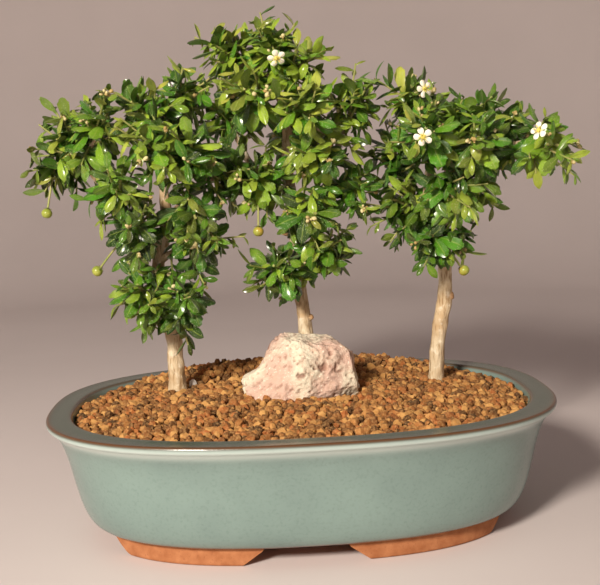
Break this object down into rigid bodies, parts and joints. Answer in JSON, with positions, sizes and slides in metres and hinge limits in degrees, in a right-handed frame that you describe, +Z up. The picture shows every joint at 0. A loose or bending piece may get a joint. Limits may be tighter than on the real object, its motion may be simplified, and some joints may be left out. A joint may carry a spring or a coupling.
{
  "type": "fukien tea forest bonsai",
  "caption": "Forest planting of small Fukien tea trees in an oval glazed stoneware pot on cut feet, with soil, a gravel top and a pale rock.",
  "frame": {"origin": "middle of the pot's underside, on the surface that its feet stand on, within about two millimetres of the middle of the whole outline", "axes": "+X along the pot to the right as seen from the front, +Y from the front to the back, +Z up; the front with the rock faces -Y"},
  "size_m": [0.2931, 0.2, 0.273],
  "materials": {
    "pot_glaze": "glossy celadon blue-green glaze, breaking to dark olive-brown along the lip, bare terracotta feet",
    "screen_plastic": "dark plastic mesh",
    "soil": "moist dark potting mix",
    "gravel": "rounded brown, tan and orange grit, matte",
    "rock": "rough pitted cream-white stone with rusty and grey stains",
    "bark": "pale cream-tan bark, finely fissured",
    "foliage": "glossy deep to mid green leaves, the young ones yellow-green, on thin green-brown shoots",
    "petals": "cream-white petals",
    "berries": "smooth yellow-green skin"
  },
  "bodies": {
    "root": {"pot": "pot_glaze", "drain_screen_left": "screen_plastic", "drain_screen_right": "screen_plastic", "soil": "soil", "gravel": "gravel", "rock": "rock", "left_tree_wood": "bark", "left_tree_spray_01": "foliage", "left_tree_spray_02": "foliage", "left_tree_spray_03": "foliage", "left_tree_spray_04": "foliage", "left_tree_spray_05": "foliage", "left_tree_spray_06": "foliage", "left_tree_spray_07": "foliage", "left_tree_spray_08": "foliage", "left_tree_spray_09": "foliage", "left_tree_spray_10": "foliage", "left_tree_spray_11": "foliage", "left_tree_spray_12": "foliage", "left_tree_spray_13": "foliage", "left_tree_spray_14": "foliage", "left_tree_spray_15": "foliage", "left_tree_spray_16": "foliage", "middle_tree_wood": "bark", "middle_tree_spray_01": "foliage", "middle_tree_spray_02": "foliage", "middle_tree_spray_03": "foliage", "middle_tree_spray_04": "foliage", "middle_tree_spray_05": "foliage", "middle_tree_spray_06": "foliage", "middle_tree_spray_07": "foliage", "middle_tree_spray_08": "foliage", "middle_tree_spray_09": "foliage", "middle_tree_spray_10": "foliage", "middle_tree_spray_11": "foliage", "middle_tree_spray_12": "foliage", "middle_tree_spray_13": "foliage", "middle_tree_spray_14": "foliage", "right_tree_wood": "bark", "right_tree_spray_01": "foliage", "right_tree_spray_02": "foliage", "right_tree_spray_03": "foliage", "right_tree_spray_04": "foliage", "right_tree_spray_05": "foliage", "right_tree_spray_06": "foliage", "right_tree_spray_07": "foliage", "right_tree_spray_08": "foliage", "right_tree_spray_09": "foliage", "right_tree_spray_10": "foliage", "right_tree_spray_11": "foliage", "right_tree_spray_12": "foliage", "right_tree_spray_13": "foliage", "flower_1": "petals", "flower_2": "petals", "flower_3": "petals", "flower_4": "petals", "berry_1": "berries", "berry_2": "berries", "berry_3": "berries", "berry_4": "berries"}
  },
  "joints": []
}
